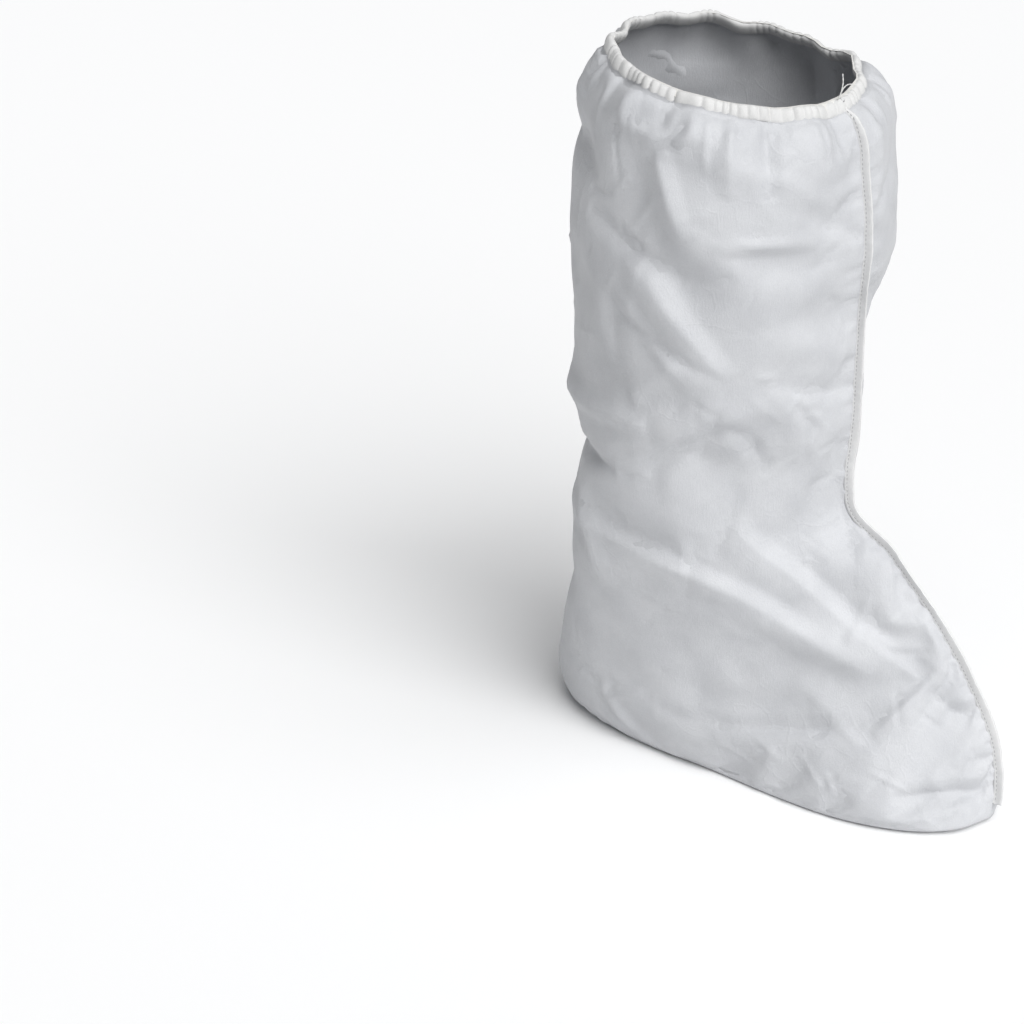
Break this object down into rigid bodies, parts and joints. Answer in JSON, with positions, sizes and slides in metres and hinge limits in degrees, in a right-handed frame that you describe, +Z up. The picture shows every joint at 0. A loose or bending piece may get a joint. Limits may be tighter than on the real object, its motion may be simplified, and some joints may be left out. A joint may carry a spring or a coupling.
{
  "type": "disposable boot cover",
  "caption": "Knee-high disposable nonwoven boot cover in its worn form, with a gathered elastic cuff, a standing front seam and an open leg and foot hollow.",
  "frame": {"origin": "on the inner face of the sole, under the middle of the leg, where the wearer's sole presses", "axes": "+X towards the toe, +Y to the far side, +Z up the leg"},
  "size_m": [0.3257, 0.1877, 0.4622],
  "materials": {
    "nonwoven": "crisp matt white nonwoven with a fine embossed fibre texture",
    "seam_allowance": "two plies of the same nonwoven sewn together, raw cut edge",
    "elastic": "flat white knitted elastic"
  },
  "bodies": {
    "root": {"cover_body": "nonwoven", "front_seam": "seam_allowance", "elastic_band": "elastic"}
  },
  "joints": []
}
